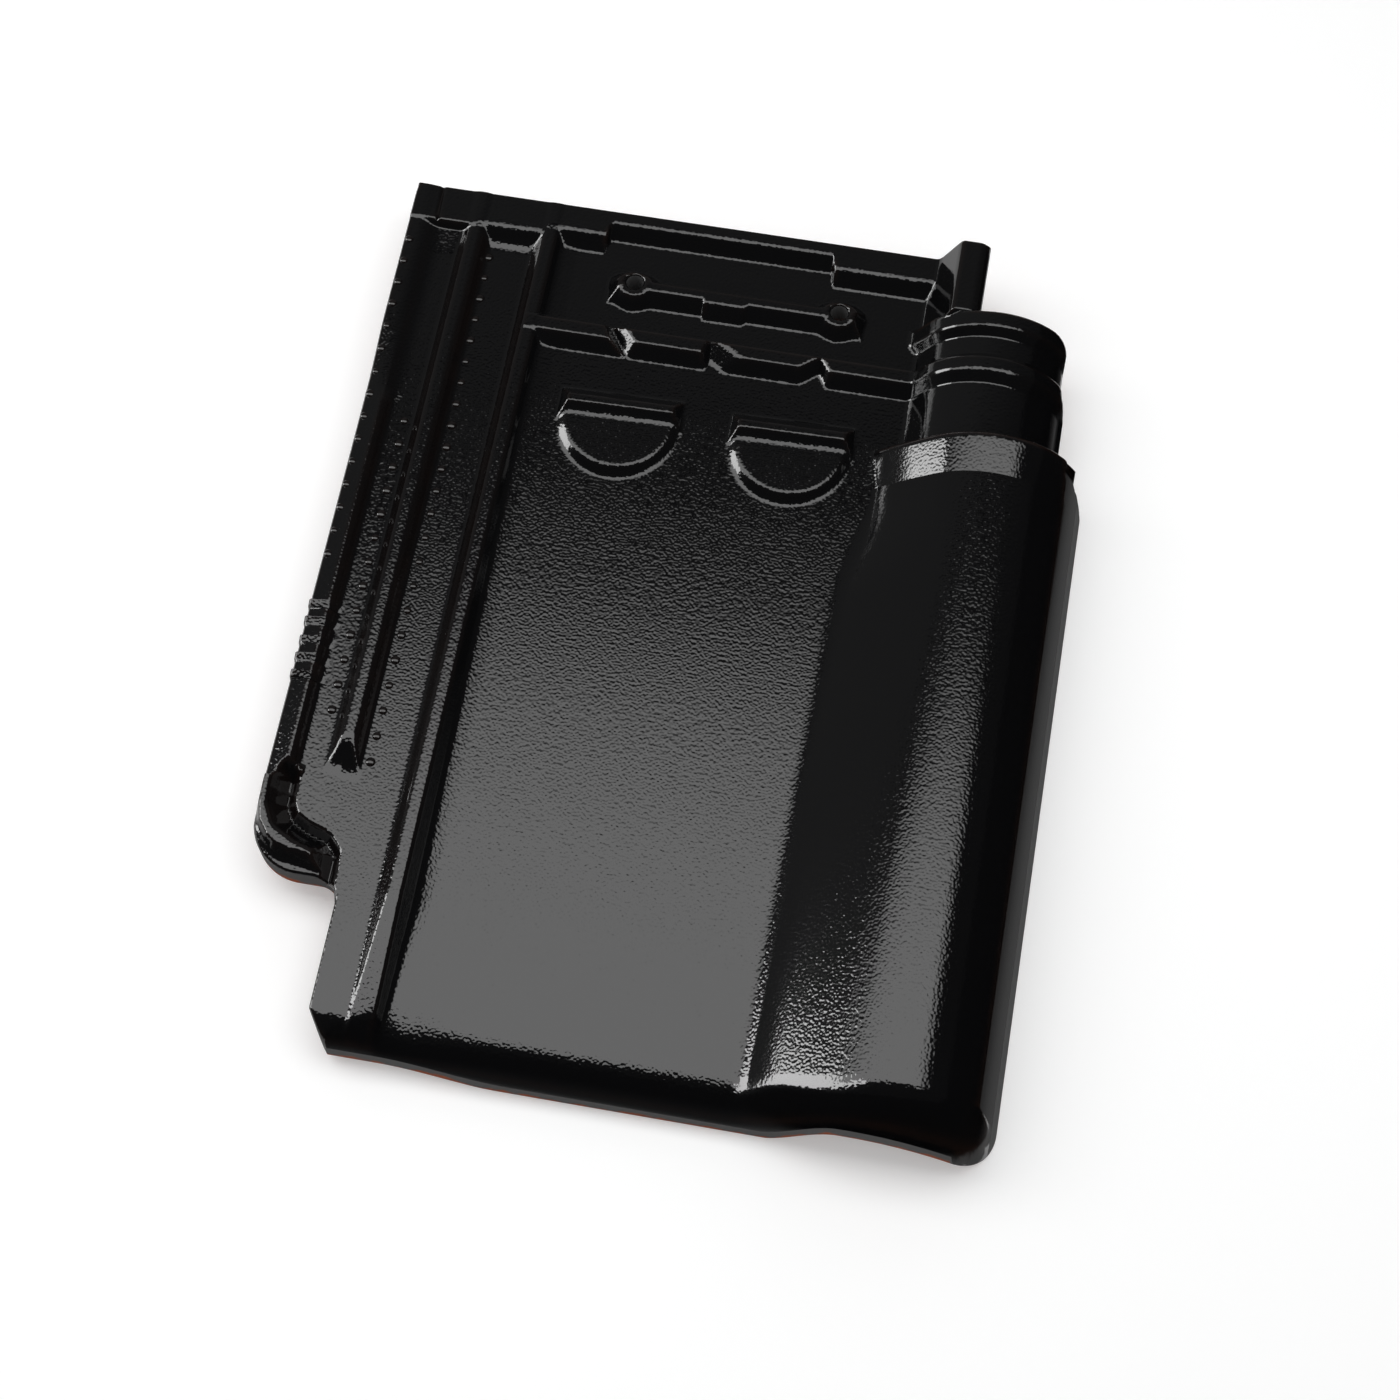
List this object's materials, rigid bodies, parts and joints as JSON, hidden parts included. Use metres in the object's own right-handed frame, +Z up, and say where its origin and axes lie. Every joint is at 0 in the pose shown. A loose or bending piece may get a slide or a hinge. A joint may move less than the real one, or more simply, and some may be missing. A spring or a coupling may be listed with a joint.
{
  "type": "clay roof tile",
  "caption": "Interlocking clay roof tile with a flat pan, one half-round roll, side channels, nail bar, half-moon pads and two hanging nibs.",
  "frame": {"origin": "middle of the footprint at floor level, the tile lying face up", "axes": "+Z up out of the glazed face, +Y from the nose to the head, +X from the side channels to the roll"},
  "size_m": [0.286, 0.36, 0.0525],
  "materials": {
    "glazed_clay": "gloss"
  },
  "bodies": {
    "root": {"roof_tile": "glazed_clay"}
  },
  "joints": []
}
